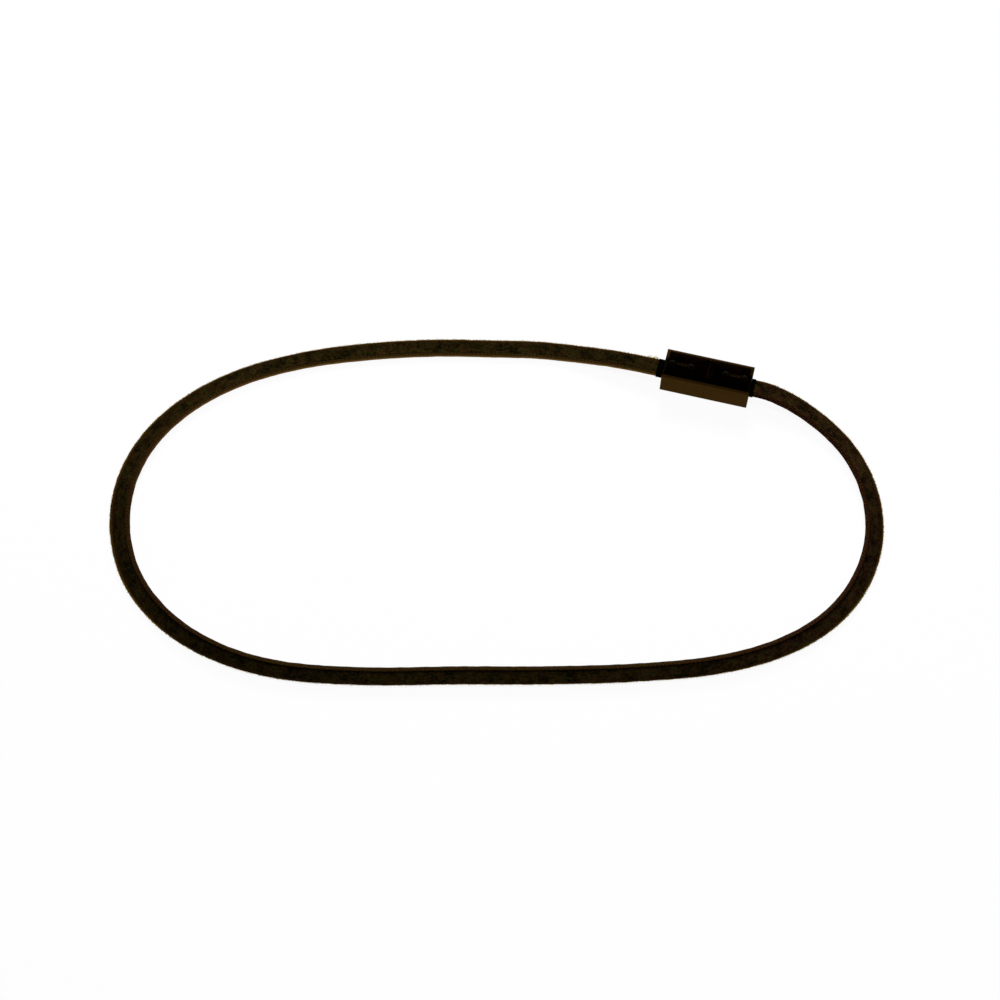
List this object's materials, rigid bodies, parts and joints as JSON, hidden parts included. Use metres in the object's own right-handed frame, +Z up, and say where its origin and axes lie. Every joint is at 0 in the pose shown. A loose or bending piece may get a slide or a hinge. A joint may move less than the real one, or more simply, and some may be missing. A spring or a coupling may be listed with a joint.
{
  "type": "esd wrist strap",
  "caption": "Slim flat wrist strap, a dark napped band with a lighter lining, closed into an oval loop by a small magnetic box clasp that pulls apart.",
  "frame": {"origin": "middle of the loop's box, on the surface that it lies on", "axes": "+X along the long way of the loop, +Y across it towards the side with the clasp, +Z up"},
  "size_m": [0.0862, 0.0436, 0.0036],
  "materials": {
    "band": "matte napped black-brown",
    "lining": "matte dark brown conductive knit",
    "sleeve": "matte black",
    "tray": "satin black-bronze plating",
    "lid": "polished black-bronze plating",
    "clamp": "plain steel",
    "rivet": "polished black nickel",
    "magnet": "nickel plated"
  },
  "bodies": {
    "socket_side": {"band_left": "band", "lining_left": "lining", "sleeve_left": "sleeve", "socket_tray": "tray", "socket_lid": "lid", "socket_clamp": "clamp", "socket_rivets": "rivet", "socket_magnet": "magnet"},
    "plug_side": {"band_right": "band", "lining_right": "lining", "sleeve_right": "sleeve", "plug_tray": "tray", "plug_lid": "lid", "plug_clamp": "clamp", "plug_rivets": "rivet", "plug_magnet": "magnet"}
  },
  "joints": [
    {"name": "loop_open", "type": "hinge", "parent": "socket_side", "child": "plug_side", "pos_m": [0.01466, -0.02135, 0], "axis": [0, 0, -1], "range_deg": [0, 90]}
  ]
}
